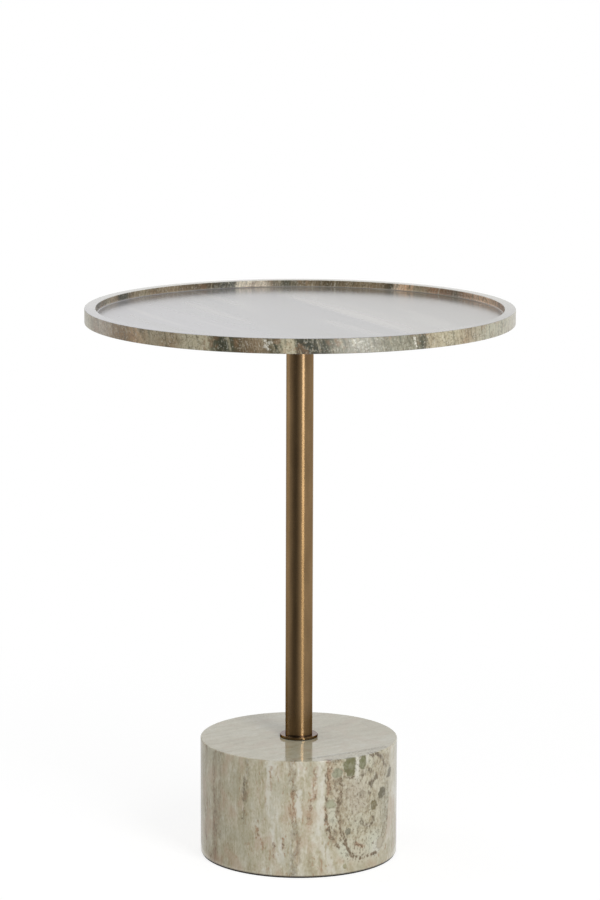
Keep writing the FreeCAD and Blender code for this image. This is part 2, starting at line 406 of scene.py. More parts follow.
# Veins on the drum's side: tone, strength, half width in mm, points (degrees, height in mm)
DRUM_VEINS = (
    (BROWN, 0.55, 3.4, ((-58.6, 108), (-57.6, 60), (-58.6, 12))),
    (BROWN, 0.45, 3, ((-52, 113), (-53, 70), (-52, 30))),
    (UMBER, 0.40, 2, ((-30.6, 112), (-30.4, 96))),
    (UMBER, 0.60, 3.4, ((-31.6, 93), (-32.8, 72))),
    (UMBER, 0.45, 2.4, ((-33.4, 67), (-33.8, 55))),
    (RUST, 0.65, 2.4, ((-24.6, 53), (-24.8, 38))),
    (RUST, 0.60, 2.4, ((-22, 36), (-20.6, 26))),
    (CHALK, 0.70, 2.4, ((-18, 111), (-17.6, 66))),
    (RUST, 0.55, 1.8, ((-16.2, 106), (-16, 84))),
    (RUST, 0.60, 2.2, ((-14.6, 33), (-14, 20))),
    (RUST, 0.60, 2, ((-8.8, 37), (-8, 25))),
    (BROWN, 0.52, 4.8, ((-3.8, 113), (-3.4, 98), (-2.8, 80))),
    (RUST, 0.58, 4, ((-3.2, 84), (-3.8, 58))),
    (BROWN, 0.52, 4.6, ((-2.4, 54), (-1.4, 34))),
    (UMBER, 0.48, 5.4, ((-1.8, 28), (-3.2, 2))),
    (CHALK, 0.80, 3.6, ((-0.2, 84), (0.2, 60))),
    (RUST, 0.58, 3.4, ((10.3, 106), (9, 84), (6.8, 66))),
    (RUST, 0.55, 3, ((6.2, 62), (5.6, 54))),
    (CHALK, 0.60, 3.6, ((12.7, 113), (12.3, 72), (12.9, 36))),
    (CHALK, 0.65, 5, ((14, 32), (18, 16), (19, 3))),
)
# Lines of these tones break up into grains, which also lie loose in clouds and in the lens
GRAINY_TONES = (UMBER, RUST, BROWN)
GRAINY_TINT_SHARE = 0.74
GRAIN_REACH = 0.36
GRAIN_LEVELS = (0.64, 0.94)
GRAIN_STRENGTH = 0.80
LOOSE_GRAIN_SHARE = 0.22
LENS_GRAIN_SHARE = 0.18
LENS_RUST_CUT_SHARE = 0.8
# Levels of noise from which lines hold together, grains lie loose and grains are rusty
UNBROKEN_LEVELS = (0.36, 0.52)
LOOSE_LEVELS = (0.42, 0.62)
RUSTY_LEVELS = (0.46, 0.58)

# Painted shade along the drum's lower edge, where it meets the pad: heights in mm
FOOT_SHADE_FULL_MM = 1.9
FOOT_SHADE_TOP_MM = 3.2
FOOT_SHADE_SHARE = 0.65

# Crack across the top behind the lens: points (x, y) in mm, half width
TOP_CRACK = ((10, -84), (24, -76), (40, -66), (58, -55), (82, -39))
TOP_CRACK_WIDTH = 5.0
TOP_CRACK_SHARE = 0.50

# Lens of pebbles at the right of the front: middle (degrees, mm), half size (degrees, mm), depth
LENS = ((40.6, 100), (25.4, 90), 15)
CORE = ((45, 78), (20.3, 64), 11)
PEBBLE_DEPTH = 6.0
PEBBLE_SHARE = 0.9
PEBBLE_RIM_TINT_SHARE = 0.25
LENS_BLUSH_SHARE = 0.15
# Where lens, patches and pebbles start to show and are full: shares of their half size
LENS_FADE_SHARES = (1.05, 0.95)
PATCH_FADE_SHARES = (1.25, 0.35)
PEBBLE_FADE_SHARES = (1.12, 0.80)
PEBBLE_RIM_SHARE = 0.95
PEBBLE_RIM_REACH_SHARE = 0.45

# Soft patches in the lens: tone, strength, middle and half size as above
LENS_PATCHES = (
    (tone(180, 168, 150), 0.60, (35, 78), (11, 26)),
    (CREAM, 0.90, (38, 8), (26, 28)),
    (SAGE, 0.35, (61, 56), (8, 30)),
    (CHALK, 0.95, (35.6, 106), (2.6, 17)),
    (CHALK, 0.80, (43.4, 111), (2.2, 6)),
    (MINT, 0.55, (46.6, 107), (3.6, 8)),
    (CREAM, 0.35, (43, 86), (5, 9)),
    (CREAM, 0.60, (54, 82), (5, 9)),
    (CREAM, 0.50, (54, 54), (5, 12)),
    (MINT, 0.95, (49, 27), (8, 14)),
    (MINT, 0.15, (38, 92), (5, 11)),
    (MINT, 0.45, (36, 50), (6, 9)),
    (TAN, 0.45, (26.5, 60), (3.5, 16)),
    (TAN, 0.45, (21.5, 90), (3.5, 14)),
    (TAN, 0.35, (57, 98), (7, 14)),
    (MINT, 0.80, (20, 58), (3.6, 13)),
    (MINT, 0.95, (26.5, 22), (5.2, 16)),
    (CHALK, 0.70, (52, 17), (6, 14)),
)

# Dark grains in the lens that follow lines: tone, strength, half width, points as above
LENS_LINES = (
    (BROWN, 0.80, 2, ((16.4, 113), (16.2, 88), (16, 62))),
    (BROWN, 0.90, 2.4, ((16, 60), (16.4, 46), (19, 38), (23.5, 28))),
    (BROWN, 0.85, 2.6, ((24.6, 98), (24.8, 80), (22.6, 67), (24, 57), (25.4, 44), (26.2, 36))),
    (BROWN, 1.00, 2.6, ((28, 34), (29.4, 24), (32.6, 17.5))),
    (BROWN, 1.00, 2.2, ((32.6, 17.5), (38, 14.4), (51, 14.8))),
    (UMBER, 0.90, 2.4, ((45.6, 112.6), (52, 112.6), (56.5, 106), (60.5, 97))),
    (UMBER, 0.70, 1.8, ((17.5, 112.4), (24.5, 112.4))),
    (UMBER, 0.90, 3.4, ((50.4, 92), (48.6, 88), (45.8, 83), (45.6, 77))),
    (UMBER, 0.70, 2.4, ((39, 50), (43, 45.5), (45.5, 43.5), (48.5, 48), (47.5, 53))),
    (RUST, 0.85, 2.4, ((34.6, 29), (37.5, 26.5), (40.6, 25.5))),
    (UMBER, 0.50, 1.4, ((64.2, 60), (63.6, 42))),
    (UMBER, 0.75, 1.4, ((27.5, 96), (30.5, 93), (33.5, 94.5))),
    (UMBER, 0.45, 2.6, ((19.5, 56), (20.5, 50), (21, 43))),
    (UMBER, 0.50, 3.4, ((22.5, 92), (21, 84))),
    (UMBER, 0.45, 3, ((37, 77), (40.5, 79))),
    (UMBER, 0.65, 3.2, ((40, 96), (43, 99), (46, 97))),
    (RUST, 0.60, 2.8, ((16.8, 112), (18.2, 104), (17.2, 82))),
)

# Pebbles in the lens: tone, middle (degrees, mm), half size (degrees, mm), and any tilt in degrees
PEBBLES = (
    (tone(106, 106, 64), (30.7, 107), (4.5, 8.6)),
    (tone(106, 106, 64), (31.2, 99.6), (2.5, 5)),
    (tone(108, 111, 70), (39.7, 107.2), (3.1, 7.8), 14),
    (tone(147, 149, 122), (22.9, 100.8), (3.5, 5.2)),
    (tone(99, 91, 64), (65.2, 89.6), (3.1, 5.8)),
    (tone(92, 84, 54), (56.6, 71.5), (4.6, 5.8), 18),
    (tone(110, 98, 54), (48.8, 62.3), (2.7, 5.2)),
    (tone(166, 166, 138), (18.6, 71), (3.2, 5.4)),
    (tone(122, 119, 98), (29.4, 42.2), (2.2, 3.8)),
    (tone(164, 158, 124), (27.8, 9.5), (1.3, 2.4)),
    (tone(188, 178, 156), (55.5, 24.5), (4, 7)),
    (tone(114, 100, 73), (51, 88.8), (1.8, 3.2)),
)


def face_points(points, radius):
    """Points (degrees, mm) as lengths along a round face, in millimetres."""
    return [(math.radians(angle) * radius, height) for angle, height in points]


def drum_coordinates(s):
    """Place in the drum, on its round face (arc, depth, height) and among its beds, in millimetres."""
    place = s.millimetres()
    x, y, z = s.split(place)
    arc = s.times(s.bearing(place), DRUM_RADIUS_MM)
    depth = s.math("SUBTRACT", DRUM_RADIUS_MM, s.vector("LENGTH", s.join(x, y, 0.0)))
    face = s.shaken(s.join(arc, depth, z), place, BEND_SIZE, BEND_REACH)
    face = s.shaken(face, place, CRUMB_SIZE, CRUMB_REACH)
    sine = math.sin(DRUM_BED_BEARING)
    cosine = math.cos(DRUM_BED_BEARING)
    across = s.vector("DOT_PRODUCT", place, (sine, -cosine, 0.0))
    along = s.vector("DOT_PRODUCT", place, (cosine, sine, 0.0))
    across = s.sway(across, s.noise(place, WAVE_SIZE, detail=1.0), WAVE_REACH)
    across = s.sway(across, s.noise(place, RIPPLE_SIZE), RIPPLE_REACH)
    return place, face, s.join(across, along, z)


def bedded_ground(s, place, bed):
    """Beige ground of the drum: clouded upright beds with fine fibres and rusty dashes."""
    broad = s.noise(bed, BROAD_BED_SIZE)
    fibre = s.noise(bed, FIBRE_SIZE)
    cloud = s.noise(place, CLOUD_SIZE, detail=4.0, roughness=0.62)
    tint = s.noise(place, TINT_SIZE)
    level = s.levels(s.split(bed)[0], DRUM_BED_LEVELS)
    mottle = s.noise(bed, MOTTLE_SIZE)
    for noise, reach in zip((broad, fibre, cloud, mottle), BED_NOISE_REACHES):
        level = s.sway(level, noise, reach)
    colour = s.tints(s.ramp(level, GROUND_STOPS), GROUND_TINTS, tint)
    dash = s.noise(bed, DASH_SIZE, detail=1.0)
    return s.tints(colour, DASH_TINTS, dash, broad)


def clast(s, face, middle, half, depth, tilt_degrees=0):
    """Place in a clast of the drum's face as a vector that is 1 long at the clast's outline."""
    (arc, height), = face_points([middle], DRUM_RADIUS_MM)
    offset = s.vector("SUBTRACT", face, (arc, 0.0, height))
    if tilt_degrees:
        turn = s.add("VectorRotate", rotation_type="Y_AXIS")
        s.feed(turn.inputs["Vector"], offset)
        turn.inputs["Angle"].default_value = math.radians(tilt_degrees)
        offset = turn.outputs[0]
    half_arc = math.radians(half[0]) * DRUM_RADIUS_MM
    return s.vector("DIVIDE", offset, (half_arc, depth, half[1]))


def box_like(s, place):
    """Length of a vector by the cube rule, which makes an outline between ellipse and box."""
    size = s.vector("ABSOLUTE", place)
    cube = s.vector("MULTIPLY", s.vector("MULTIPLY", size, size), size)
    total = s.vector("DOT_PRODUCT", cube, (1.0, 1.0, 1.0))
    return s.math("POWER", total, 1 / 3)


def drawn_lines(s, face, radius, lines):
    """How much of each tone the lines drawn on a round face put down, by tone."""
    flat = s.vector("MULTIPLY", face, (1.0, 0.0, 1.0))
    amounts = {}
    for shade, strength, width, points in lines:
        distance = s.line_distance(flat, face_points(points, radius))
        start, full = (share * width for share in LINE_FADE_SHARES)
        amount = s.times(s.fade(distance, start, full), strength)
        amounts[shade] = s.math("MAXIMUM", amounts[shade], amount) if shade in amounts else amount
    return amounts


def lens_ground(s, face, core, cloud, grain):
    """Crumbly ground of the lens, pinker outside its core, with soft patches and mottles."""
    outside = s.fade(core, *reversed(LENS_FADE_SHARES))
    ground = s.tint(s.ramp(cloud, LENS_STOPS), BLUSH, LENS_BLUSH_SHARE, outside)
    for shade, strength, middle, half in LENS_PATCHES:
        reach = s.vector("LENGTH", clast(s, face, middle, half, PEBBLE_DEPTH))
        ground = s.tint(ground, shade, strength, s.fade(reach, *PATCH_FADE_SHARES))
    return s.tints(ground, LENS_TINTS, grain)


def lens_pebbles(s, face, cloud, grain):
    """Cover and colour of the pebbles, mottled inside and darker at their rims."""
    cover = 0.0
    rim = 0.0
    colour = LICHEN
    for shade, middle, half, *tilt in PEBBLES:
        reach = s.vector("LENGTH", clast(s, face, middle, half, PEBBLE_DEPTH, *tilt))
        stone = s.fade(reach, *PEBBLE_FADE_SHARES)
        cover = s.math("MAXIMUM", stone, cover)
        rim = s.math("MAXIMUM", s.near(reach, PEBBLE_RIM_SHARE, PEBBLE_RIM_REACH_SHARE), rim)
        colour = s.mix(stone, colour, shade)
    colour = s.tints(colour, PEBBLE_CLOUD_TINTS, cloud)
    colour = s.tints(colour, PEBBLE_GRAIN_TINTS, grain)
    return s.times(cover, PEBBLE_SHARE), s.tint(colour, UMBER, PEBBLE_RIM_TINT_SHARE, rim)


def drum_marble():
    """Polished beige marble with upright beds, rusty veins and one lens of green pebbles."""
    s = Shading("drum_marble")
    place, face, bed = drum_coordinates(s)
    cloud = s.noise(place, CLOT_SIZE, detail=4.0, roughness=0.65)
    skin = s.fade(s.split(face)[1], SKIN_DEPTH, SKIN_FULL_DEPTH)
    broken = s.times(s.fade(s.noise(place, BREAK_SIZE), *UNBROKEN_LEVELS), skin)
    lens = box_like(s, clast(s, face, *LENS))
    core = box_like(s, clast(s, face, *CORE))
    inside = s.fade(lens, *LENS_FADE_SHARES)
    grain = s.noise(place, GRAIN_SIZE, detail=3.0, roughness=0.6)
    top = s.fade(s.upward(), *DRUM_TOP_LEVELS)
    x, y = s.split(s.shaken(place, place, CRUMB_SIZE, CRUMB_REACH))[:2]
    crack = s.fade(s.line_distance(s.join(x, 0.0, y), TOP_CRACK), TOP_CRACK_WIDTH, 0.0)
    crack = s.times(crack, top, s.fade(grain, *UNBROKEN_LEVELS))

    colour = s.mix(inside, bedded_ground(s, place, bed), lens_ground(s, face, core, cloud, grain))
    # Painted light: upward faces of the drum turned towards a lighter tone
    colour = s.tint(colour, DRUM_TOP_PAINTED_LIGHT_TONE, TOP_PAINTED_LIGHT_SHARE, top)
    loose = s.fade(cloud, *LOOSE_LEVELS)
    density = s.math("MULTIPLY_ADD", loose, LOOSE_GRAIN_SHARE, s.times(inside, LENS_GRAIN_SHARE))
    amounts = drawn_lines(s, face, DRUM_RADIUS_MM, DRUM_VEINS + LENS_LINES)
    for shade, amount in amounts.items():
        amount = s.times(amount, broken)
        if shade in GRAINY_TONES:
            density = s.math("MAXIMUM", density, amount)
            amount = s.times(amount, GRAINY_TINT_SHARE)
        colour = s.mix(amount, colour, shade)
    colour = s.tint(colour, UMBER, TOP_CRACK_SHARE, crack)
    cover, pebble = lens_pebbles(s, face, cloud, grain)
    colour = s.mix(cover, colour, pebble)
    density = s.times(density, s.math("SUBTRACT", 1.0, cover))

    dark = s.fade(s.math("MULTIPLY_ADD", density, GRAIN_REACH, grain), *GRAIN_LEVELS)
    uncut = s.math("MULTIPLY_ADD", inside, -LENS_RUST_CUT_SHARE, 1.0)
    rusty = s.times(s.fade(cloud, *RUSTY_LEVELS), uncut)
    colour = s.tint(colour, s.mix(rusty, UMBER, RUST), GRAIN_STRENGTH, dark)
    # Painted shade: the stone darkens towards its lower edge
    foot_shade = s.fade(s.split(place)[2], FOOT_SHADE_TOP_MM, FOOT_SHADE_FULL_MM)
    s.set(Base_Color=s.tint(colour, UMBER, FOOT_SHADE_SHARE, foot_shade), IOR=STONE_IOR)
    s.rough(cloud, *DRUM_ROUGHNESS)
    return s.material


# Tray stone round the ring: (degrees from the front, tone) and (degrees from the back, tone)
TRAY_FRONT_BEDS = (
    (-92, CHALK), (-80, CREAM), (-75, SAND), (-69, tone(148, 130, 102)), (-61, TAN), (-57, COCOA),
    (-51, COCOA), (-47, tone(190, 160, 122)), (-42, BEIGE), (-34, TAN), (-30, SAND), (-24.4, SAND),
    (-22.4, MOSS), (-20, PINE), (-17.5, MOSS), (-16, UMBER), (-10.5, BROWN), (-6, MOSS), (-4, SAND),
    (-1.6, SAND), (-0.8, PINE), (6.2, PINE), (9, tone(128, 126, 109)), (20, tone(132, 130, 113)),
    (31, SAGE), (31.8, MOSS), (33.4, PINE), (34.6, BEIGE), (43, SAND), (48, TAN), (57, LICHEN), (92, CREAM),
)
TRAY_BACK_BEDS = (
    (-92, UMBER), (-81, PINE), (-75.5, UMBER), (-72, BEIGE), (-67, BROWN), (-65, PINE), (-61, PINE),
    (-58, BROWN), (-52, BEIGE), (-48, BROWN), (-43, TAN), (-38, BROWN), (-29, UMBER), (-24, PINE),
    (-19.8, PINE), (-18.8, IVORY), (-10.6, IVORY), (-9.2, BROWN), (-4, MOSS), (2, TAN), (7, UMBER),
    (18, TAN), (24.4, BROWN), (28, PINE), (29.2, tone(238, 216, 192)), (33, CLAY), (37, BEIGE), (43, RUST),
    (52.4, UMBER), (55.6, RUST), (66.5, tone(254, 214, 176)), (84, RUST),
)

# Tray stone: the beds of its floor run along this bearing. Sizes of the pattern are in millimetres.
TRAY_BED_BEARING = math.radians(26.5)
TRAY_RADIUS_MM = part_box("tray_top")[1].x * PER_METRE
TRAY_SWAY_SIZE = (12, 12, 9)
TRAY_SWAY_DEGREES = 2.4
TRAY_CLOT_DEGREES = 2.0
TRAY_FIBRE_SIZE = (1.1, 5, 8)
TRAY_STRIPE_SIZE = (3.4, 5, 26)
TRAY_SPECK_SIZE = (1.9, 1.9, 2.4)
TRAY_MASK_SIZE = (15, 15, 15)
TRAY_GRAIN_SIZE = (1.3, 1.3, 1.3)
TRAY_CLOUD_SIZE = (28, 260, 60)
TRAY_FLECK_SIZE = (5, 16, 9)
TRAY_FLOOR_SWAY = 20.0
TRAY_LEAN_SHARE = 0.25
TRAY_FLAT_LEVELS = (0.55, 0.9)
TRAY_ROUGHNESS = (0.28, 0.19)
SEALER_SHARE = 0.42
SEALER_ROUGHNESS = 0.19

# Tints by noise on the tray, as on the drum; its grains' go by a random number
TRAY_CLOT_TINTS = ((UMBER, 0.42, (0.50, 0.66)),)
TRAY_STRIPE_TINTS = ((MOSS, 0.62, (0.52, 0.66)), (SAND, 0.50, (0.47, 0.34)))
TRAY_SPECK_TINTS = ((UMBER, 0.40, (0.54, 0.70)), (CREAM, 0.34, (0.44, 0.30)))
TRAY_FIBRE_TINTS = ((MOSS, 0.50, (0.52, 0.68), (0.40, 0.58)), (CHALK, 0.40, (0.46, 0.34), (0.56, 0.42)))
TRAY_RUST_TINTS = ((RUST, 0.28, (0.54, 0.64), (0.44, 0.56)),)
TRAY_GRAIN_TINTS = ((UMBER, 0.55, (0.16, 0.10)), (CHALK, 0.28, (0.88, 0.94)))
TRAY_CLOUD_TINTS = ((CHALK, 0.22, (0.52, 0.70)), (SAGE, 0.25, (0.46, 0.32)))
TRAY_FLECK_TINTS = ((BROWN, 0.25, (0.58, 0.72), (0.56, 0.44)),)
TRAY_UNBROKEN_LEVELS = (0.36, 0.50)

# Top of the lip, by distance from the axis, and the painted light that pales it towards the back, by y
RIM_FROM_MM = 191.0
RIM_FULL_MM = 193.5
RIM_PAINTED_LIGHT_FROM_MM = -120.0
RIM_PAINTED_LIGHT_FULL_MM = 150.0
RIM_PAINTED_LIGHT_SHARE = 0.80

# White and dark strokes on the tray's edge: tone, strength, half width in mm, points (degrees, mm)
TRAY_STROKES = (
    (CHALK, 0.85, 1.6, ((-8.8, 528), (-8, 520))),
    (CHALK, 0.70, 1.3, ((-7, 526.5), (-9.2, 522))),
    (PINE, 0.80, 1, ((-6.4, 524), (-5.2, 517))),
    (PINE, 0.95, 4, ((0.8, 527), (2.6, 522), (4.4, 519))),
    (CHALK, 0.32, 1, ((1, 522.5), (3, 518.5))),
    (CHALK, 0.35, 0.8, ((5, 523), (4.5, 520.5))),
    (CHALK, 0.65, 1.1, ((13.6, 528), (15.2, 521))),
    (CHALK, 0.55, 1, ((15.8, 527), (13.4, 523))),
    (CHALK, 0.85, 1.2, ((30.2, 528), (30.9, 519))),
    (MOSS, 0.60, 0.9, ((58.4, 529), (58.8, 518))),
    (MOSS, 0.45, 0.9, ((66, 529), (66.4, 518))),
)

# Tones of the tray's floor across its beds, in millimetres from the middle
TRAY_FLOOR_BEDS = (
    (-200, tone(166, 165, 171)), (-110, tone(163, 162, 166)), (-60, tone(150, 148, 150)),
    (-10, tone(143, 141, 142)), (34, tone(136, 133, 134)), (48, tone(166, 161, 155)),
    (60, tone(160, 155, 149)), (78, tone(142, 138, 133)), (110, tone(131, 126, 118)),
    (200, tone(124, 118, 109)),
)


def tray_ring(s, place, clot):
    """Bands round the tray's edge, with clots, fibres, strokes and grains in them."""
    x, y, z = s.split(place)
    sway = s.noise(place, TRAY_SWAY_SIZE)
    halves = []
    for sign, beds in ((-1.0, TRAY_FRONT_BEDS), (1.0, TRAY_BACK_BEDS)):
        angle = s.math("DEGREES", s.math("ARCTAN2", x, s.times(y, sign)))
        angle = s.sway(s.sway(angle, sway, TRAY_SWAY_DEGREES), clot, TRAY_CLOT_DEGREES)
        halves.append(s.ramp(angle, beds))
    colour = s.mix(s.math("GREATER_THAN", y, 0.0), *halves)
    mask = s.noise(place, TRAY_MASK_SIZE, detail=1.0)
    arc = s.times(s.bearing(place), TRAY_RADIUS_MM)
    lean = s.math("MULTIPLY_ADD", z, TRAY_LEAN_SHARE, arc)
    fibre = s.noise(s.join(lean, 0.0, z), TRAY_FIBRE_SIZE, detail=3.0, roughness=0.6)
    stripe = s.noise(s.join(lean, 0.0, z), TRAY_STRIPE_SIZE, detail=3.0, roughness=0.6)
    speck = s.noise(place, TRAY_SPECK_SIZE)
    colour = s.tints(colour, TRAY_CLOT_TINTS, clot)
    colour = s.tints(colour, TRAY_STRIPE_TINTS, stripe)
    colour = s.tints(colour, TRAY_SPECK_TINTS, speck)
    colour = s.tints(colour, TRAY_FIBRE_TINTS, fibre, mask)
    colour = s.tints(colour, TRAY_RUST_TINTS, mask, clot)
    face = s.shaken(s.join(arc, 0.0, z), place, CRUMB_SIZE, CRUMB_REACH)
    broken = s.fade(speck, *TRAY_UNBROKEN_LEVELS)
    for shade, amount in drawn_lines(s, face, TRAY_RADIUS_MM, TRAY_STROKES).items():
        colour = s.mix(s.times(amount, broken), colour, shade)
    chance, bead = s.grains(place, TRAY_GRAIN_SIZE)
    for shade, strength, span in TRAY_GRAIN_TINTS:
        colour = s.tint(colour, shade, strength, s.fade(chance, *span), bead)
    return colour


def tray_floor(s, place):
    """Pale grey floor with one light bed across it, clouds and a few flecks; the lip's top has painted
    light, paler behind.
    """
    sine = math.sin(TRAY_BED_BEARING)
    cosine = math.cos(TRAY_BED_BEARING)
    across = s.vector("DOT_PRODUCT", place, (cosine, sine, 0.0))
    along = s.vector("DOT_PRODUCT", place, (-sine, cosine, 0.0))
    bed = s.join(across, along, 0.0)
    cloud = s.noise(bed, TRAY_CLOUD_SIZE, detail=1.0)
    fleck = s.noise(bed, TRAY_FLECK_SIZE, detail=3.0)
    colour = s.ramp(s.sway(across, cloud, TRAY_FLOOR_SWAY), TRAY_FLOOR_BEDS)
    colour = s.tints(colour, TRAY_CLOUD_TINTS, cloud)
    colour = s.tints(colour, TRAY_FLECK_TINTS, fleck, cloud)
    x, y = s.split(place)[:2]
    # Painted light: the lip's top turned towards chalk, more towards the back
    rim = s.fade(s.vector("LENGTH", s.join(x, y, 0.0)), RIM_FROM_MM, RIM_FULL_MM)
    painted_light = s.fade(y, RIM_PAINTED_LIGHT_FROM_MM, RIM_PAINTED_LIGHT_FULL_MM)
    return s.tint(colour, CHALK, RIM_PAINTED_LIGHT_SHARE, rim, painted_light)


def tray_marble():
    """Marble of the tray: a honed grey floor, and bands of brown, moss and cream round its edge."""
    s = Shading("tray_marble")
    place = s.millimetres()
    clot = s.noise(place, CLOT_SIZE, detail=4.0, roughness=0.65)
    flat = s.fade(s.upward(), *TRAY_FLAT_LEVELS)
    s.set(Base_Color=s.mix(flat, tray_ring(s, place, clot), tray_floor(s, place)), IOR=STONE_IOR)
    s.rough(flat, *TRAY_ROUGHNESS)
    s.set(Coat_Weight=s.times(flat, SEALER_SHARE), Coat_Roughness=SEALER_ROUGHNESS)
    return s.material


# Brass: sizes of its pattern, and heights above the column's foot, in millimetres
BRASS_CLOUD_SIZE = (9, 9, 46)
BRASS_LINE_SIZE = (4, 4, 1.4)
BRASS_STOPS = ((0.30, tone(112, 87, 55)), (0.50, tone(121, 96, 62)), (0.70, tone(131, 104, 69)))
BRASS_LINE_TINTS = ((tone(88, 65, 40), 0.12, (0.52, 0.70)),)
COLUMN_FOOT_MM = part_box("column_tube")[0].z * PER_METRE
# Painted shade in the seam at the column's foot: heights in mm
JOINT_SHADE_FULL_MM = 0.3
JOINT_SHADE_REACH_MM = 1.3
JOINT_SHADE_SHARE = 0.75
# Painted shade above the column's foot, and the dark tone of all painted shade on it: heights in mm
COLUMN_SHADE_FULL_MM = 10.0
COLUMN_SHADE_REACH_MM = 105.0
COLUMN_SHADE_TONE = tone(44, 32, 20)
# Painted shade above the column's foot, round the column: (degrees from the front, share)
COLUMN_SHADE_SHARES = ((-180, 0.4), (-70, 0.78), (-25, 0.0), (25, 0.0), (70, 0.50), (180, 0.4))
LACQUER_SHARE = 0.46
LACQUER_ROUGHNESS = 0.18
BRUSHED_ROUGHNESS = (0.265, 0.295)
BRUSHED_GLANCE_TONE = tone(206, 182, 150)
BRUSHING_SHARE = 0.88
BRUSHING_TURNS = 0.25
TURNED_EDGE_SHADE_TONE = tone(100, 80, 54)
TURNED_GLANCE_TONE = tone(150, 138, 120)
TURNED_FLAT_LEVELS = (0.5, 0.9)
TURNED_ROUGHNESS = (0.09, 0.15)
POLISH_ROUGHNESS = 0.05


def brass_ground(s, place):
    """Colour of darkened brass, and the fine lines of its finish."""
    cloud = s.noise(place, BRASS_CLOUD_SIZE, detail=3.0)
    fine = s.noise(place, BRASS_LINE_SIZE, detail=1.0)
    return s.tints(s.ramp(cloud, BRASS_STOPS), BRASS_LINE_TINTS, fine), fine


def brushed_brass():
    """Lacquered brass whose brushing draws light out along the column. It has painted shade in the seam
    at its foot and painted shade above it, most on the left."""
    s = Shading("brushed_brass")
    place = s.millimetres()
    colour, fine = brass_ground(s, place)
    rise = s.math("SUBTRACT", s.split(place)[2], COLUMN_FOOT_MM)
    # Painted shade: darker in the seam at the column's foot
    joint_shade = s.times(s.fade(rise, JOINT_SHADE_REACH_MM, JOINT_SHADE_FULL_MM), JOINT_SHADE_SHARE)
    # Painted shade above the foot, by bearing, most on the left; the lacquer is thinner there
    shade_sides = s.levels(s.math("DEGREES", s.bearing(place)), COLUMN_SHADE_SHARES)
    column_shade = s.times(s.fade(rise, COLUMN_SHADE_REACH_MM, COLUMN_SHADE_FULL_MM), shade_sides)
    colour = s.mix(s.math("MAXIMUM", joint_shade, column_shade), colour, COLUMN_SHADE_TONE)
    s.set(Base_Color=colour, Metallic=1.0, Specular_Tint=BRUSHED_GLANCE_TONE)
    lacquer = s.math("MULTIPLY_ADD", column_shade, -LACQUER_SHARE, LACQUER_SHARE)
    s.set(Coat_Weight=lacquer, Coat_Roughness=LACQUER_ROUGHNESS)
    tangent = s.add("Tangent", direction_type="RADIAL", axis="Z")
    s.set(Tangent=tangent.outputs[0], Anisotropic=BRUSHING_SHARE, Anisotropic_Rotation=BRUSHING_TURNS)
    s.rough(fine, *BRUSHED_ROUGHNESS)
    return s.material


def turned_brass():
    """Brass turned and polished on its flat faces, with painted shade on its upright edge."""
    s = Shading("turned_brass")
    colour, fine = brass_ground(s, s.millimetres())
    flat = s.fade(s.upward(), *TURNED_FLAT_LEVELS)
    # Painted shade: faces that are not flat take a darker tone
    colour = s.mix(flat, TURNED_EDGE_SHADE_TONE, colour)
    s.set(Base_Color=colour, Metallic=1.0, Specular_Tint=TURNED_GLANCE_TONE)
    s.set(Coat_Weight=flat, Coat_Roughness=POLISH_ROUGHNESS)
    s.rough(fine, *TURNED_ROUGHNESS)
    return s.material


# Zinc plated steel, dusty black rubber, dark foam and cured grey adhesive: sizes of their pattern in
# millimetres, and (level, tone)
STEEL_CLOUD_SIZE = (3, 3, 3)
STEEL_STOPS = ((0.32, tone(150, 149, 142)), (0.52, tone(176, 174, 166)), (0.70, tone(190, 188, 178)))
STEEL_ROUGHNESS = (0.24, 0.42)
RUBBER_GRAIN_SIZE = (0.5, 0.5, 0.5)
RUBBER_STOPS = ((0.35, tone(34, 34, 34)), (0.65, tone(52, 51, 49)))
RUBBER_ROUGHNESS = (0.62, 0.82)
FOAM_CELL_SIZE = (0.45, 0.45, 0.45)
FOAM_CLOUD_SIZE = (24, 24, 24)
FOAM_STOPS = ((0.35, tone(30, 29, 26)), (0.65, tone(50, 48, 43)))
FOAM_TINTS = ((tone(46, 43, 37), 0.3, (0.5, 0.7)),)
FOAM_BUMP_DEPTH = 0.1 * MM
FOAM_BUMP_SHARE = 0.4
FOAM_ROUGHNESS = 0.9
ADHESIVE_CLOUD_SIZE = (3, 3, 1)
ADHESIVE_STOPS = ((0.35, tone(168, 164, 154)), (0.65, tone(188, 184, 172)))
ADHESIVE_ROUGHNESS = (0.4, 0.6)


def clouded(name, size, stops, roughness, detail=3.0, metallic=0.0):
    """Plain material whose colour and roughness follow one noise."""
    s = Shading(name)
    cloud = s.noise(s.millimetres(), size, detail=detail)
    s.set(Base_Color=s.ramp(cloud, stops), Metallic=metallic)
    s.rough(cloud, *roughness)
    return s.material


def pad_foam():
    """Dark close-cell foam."""
    s = Shading("pad_foam")
    place = s.millimetres()
    cell = s.noise(place, FOAM_CELL_SIZE)
    cloud = s.noise(place, FOAM_CLOUD_SIZE)
    colour = s.tints(s.ramp(cell, FOAM_STOPS), FOAM_TINTS, cloud)
    bump = s.add("Bump")
    bump.inputs["Strength"].default_value = FOAM_BUMP_SHARE
    bump.inputs["Distance"].default_value = FOAM_BUMP_DEPTH
    s.feed(bump.inputs["Height"], cell)
    s.set(Base_Color=colour, Roughness=FOAM_ROUGHNESS, Normal=bump.outputs[0])
    return s.material


